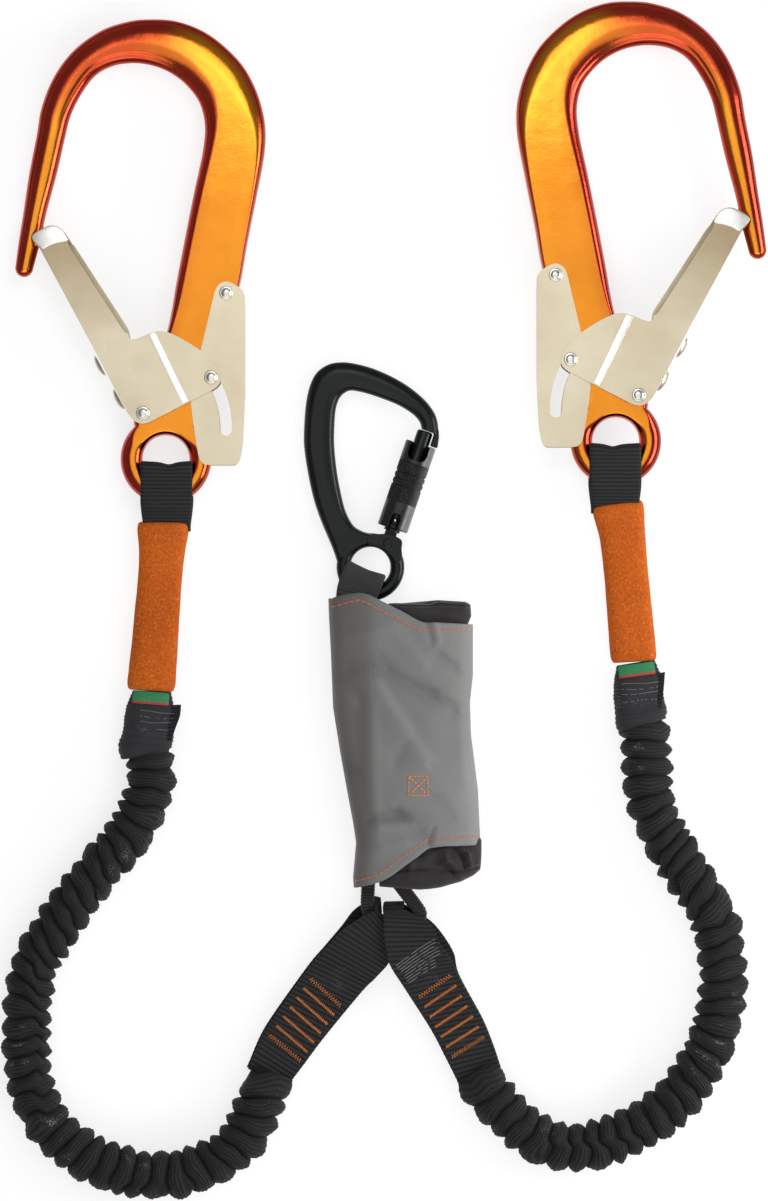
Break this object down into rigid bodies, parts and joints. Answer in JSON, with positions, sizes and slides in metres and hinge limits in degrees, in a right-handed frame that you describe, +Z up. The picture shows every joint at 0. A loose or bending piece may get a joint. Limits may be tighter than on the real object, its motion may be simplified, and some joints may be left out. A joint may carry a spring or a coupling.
{
  "type": "energy absorbing y-lanyard",
  "caption": "Fall-arrest lanyard with a sewn energy absorber, a locking captive-eye carabiner and elastic arms that end in large scaffold hooks.",
  "frame": {"origin": "centre of the flat underside of the absorber cover, which the lanyard rests on", "axes": "+X to the right and +Y towards the hooks in the laid-flat plan, +Z up out of the plan"},
  "size_m": [0.3829, 0.5994, 0.0362],
  "materials": {
    "anodised_orange": "anodised satin gloss orange, darker at the forged edges",
    "nickel_sheet": "nickel-plated pressed sheet, warm bright",
    "bright_steel": "plain bright steel, domed rivets",
    "spring_steel": "drawn spring wire",
    "black_anodised": "black anodised semi-gloss",
    "black_webbing": "ribbed polyamide webbing",
    "orange_fabric": "fine woven orange sleeve",
    "green_label": "woven green tape with a red edge",
    "black_fabric": "soft black pouch fabric",
    "grey_cover": "grey woven cover with orange top stitching",
    "black_elastic": "crimped tubular elastic webbing"
  },
  "bodies": {
    "absorber": {"absorber_cover": "grey_cover", "closure_hook_strip": "black_fabric", "closure_loop_strip": "black_fabric", "tear_webbing": "black_webbing", "inner_pouch": "black_fabric", "reserve_webbing": "black_webbing", "absorber_lower_strap": "black_webbing"},
    "top_loop": {"absorber_top_loop": "black_webbing"},
    "carabiner": {"carabiner_body": "black_anodised", "carabiner_gate_pin": "black_anodised"},
    "carabiner_gate": {"carabiner_gate": "black_anodised", "carabiner_gate_spring": "spring_steel", "guide_ball": "bright_steel"},
    "sleeve_carrier": {"sleeve_spring_washer": "bright_steel", "sleeve_spring": "spring_steel"},
    "locking_sleeve": {"locking_sleeve": "black_anodised"},
    "left_arm": {"left_lower_loop": "black_webbing", "left_elastic_arm": "black_elastic", "left_cuff": "black_webbing", "left_label_band": "green_label", "left_wear_sleeve": "orange_fabric", "left_arm_webbing": "black_webbing"},
    "left_loop": {"left_hook_loop": "black_webbing"},
    "left_hook": {"left_hook_body": "anodised_orange", "left_gate_pivot_rivet": "bright_steel", "left_lever_pivot_rivet": "bright_steel"},
    "left_gate": {"left_gate_channel": "nickel_sheet", "left_lock_pin": "bright_steel", "left_gate_spring": "spring_steel"},
    "left_lever": {"left_safety_lever": "nickel_sheet", "left_lever_spring": "spring_steel"},
    "right_arm": {"right_lower_loop": "black_webbing", "right_elastic_arm": "black_elastic", "right_cuff": "black_webbing", "right_label_band": "green_label", "right_wear_sleeve": "orange_fabric", "right_arm_webbing": "black_webbing"},
    "right_loop": {"right_hook_loop": "black_webbing"},
    "right_hook": {"right_hook_body": "anodised_orange", "right_gate_pivot_rivet": "bright_steel", "right_lever_pivot_rivet": "bright_steel"},
    "right_gate": {"right_gate_channel": "nickel_sheet", "right_lock_pin": "bright_steel", "right_gate_spring": "spring_steel"},
    "right_lever": {"right_safety_lever": "nickel_sheet", "right_lever_spring": "spring_steel"}
  },
  "joints": [
    {"name": "left_arm_swing", "type": "hinge", "parent": "absorber", "child": "left_arm", "pos_m": [-0.0125, -0.089, 0.0093], "axis": [0, 0, 1], "range_deg": [-3, 0]},
    {"name": "left_loop_flex", "type": "hinge", "parent": "left_arm", "child": "left_loop", "pos_m": [-0.1195, 0.1105, 0.012], "axis": [1, 0, 0], "range_deg": [-45, 45]},
    {"name": "left_hook_swing", "type": "hinge", "parent": "left_loop", "child": "left_hook", "pos_m": [-0.1195, 0.1405, 0.012], "axis": [0, 0, 1], "range_deg": [-15, 60]},
    {"name": "left_gate_open", "type": "hinge", "parent": "left_hook", "child": "left_gate", "pos_m": [-0.13065, 0.1632, 0.012], "axis": [0, 0, -1], "range_deg": [0, 40], "stiffness_Nm_per_rad": 0.15, "springref_deg": -20.05},
    {"name": "left_lever_squeeze", "type": "hinge", "parent": "left_hook", "child": "left_lever", "pos_m": [-0.08925, 0.2232, 0.012], "axis": [0, 0, -1], "range_deg": [0, 3.3]},
    {"name": "right_arm_swing", "type": "hinge", "parent": "absorber", "child": "right_arm", "pos_m": [-0.005, -0.09, 0.0093], "axis": [0, 0, -1], "range_deg": [-3, 0]},
    {"name": "right_loop_flex", "type": "hinge", "parent": "right_arm", "child": "right_loop", "pos_m": [0.10535, 0.1195, 0.012], "axis": [1, 0, 0], "range_deg": [-45, 45]},
    {"name": "right_hook_swing", "type": "hinge", "parent": "right_loop", "child": "right_hook", "pos_m": [0.10535, 0.1495, 0.012], "axis": [0, 0, -1], "range_deg": [-15, 60]},
    {"name": "right_gate_open", "type": "hinge", "parent": "right_hook", "child": "right_gate", "pos_m": [0.1165, 0.1722, 0.012], "axis": [0, 0, 1], "range_deg": [0, 40], "stiffness_Nm_per_rad": 0.15, "springref_deg": -20.05},
    {"name": "right_lever_squeeze", "type": "hinge", "parent": "right_hook", "child": "right_lever", "pos_m": [0.0751, 0.2322, 0.012], "axis": [0, 0, 1], "range_deg": [0, 3.3]},
    {"name": "top_loop_flex", "type": "hinge", "parent": "absorber", "child": "top_loop", "pos_m": [-0.0173, 0.064, 0.0095], "axis": [1, 0, 0], "range_deg": [-20, 40]},
    {"name": "carabiner_swing", "type": "hinge", "parent": "top_loop", "child": "carabiner", "pos_m": [-0.0173, 0.0865, 0.0095], "axis": [0, 0, 1], "range_deg": [-15, 15]},
    {"name": "carabiner_gate_open", "type": "hinge", "parent": "carabiner", "child": "carabiner_gate", "pos_m": [-0.00875, 0.0985, 0.0095], "axis": [0, 0, 1], "range_deg": [0, 20], "stiffness_Nm_per_rad": 0.05, "springref_deg": -20.05},
    {"name": "sleeve_lift", "type": "slide", "parent": "carabiner_gate", "child": "sleeve_carrier", "axis": [0.3213, 0.947, 0], "range_m": [-0.0025, 0], "stiffness_N_per_m": 200, "springref_m": 0.002},
    {"name": "sleeve_twist", "type": "hinge", "parent": "sleeve_carrier", "child": "locking_sleeve", "pos_m": [-0.00875, 0.0985, 0.0095], "axis": [0.3213, 0.947, 0], "range_deg": [0, 90], "stiffness_Nm_per_rad": 0.01, "springref_deg": -28.65}
  ],
  "couplings": [
    {"joint": "left_lever_squeeze", "follows": "left_gate_open", "ratio": 0.08},
    {"joint": "right_lever_squeeze", "follows": "right_gate_open", "ratio": 0.08}
  ]
}
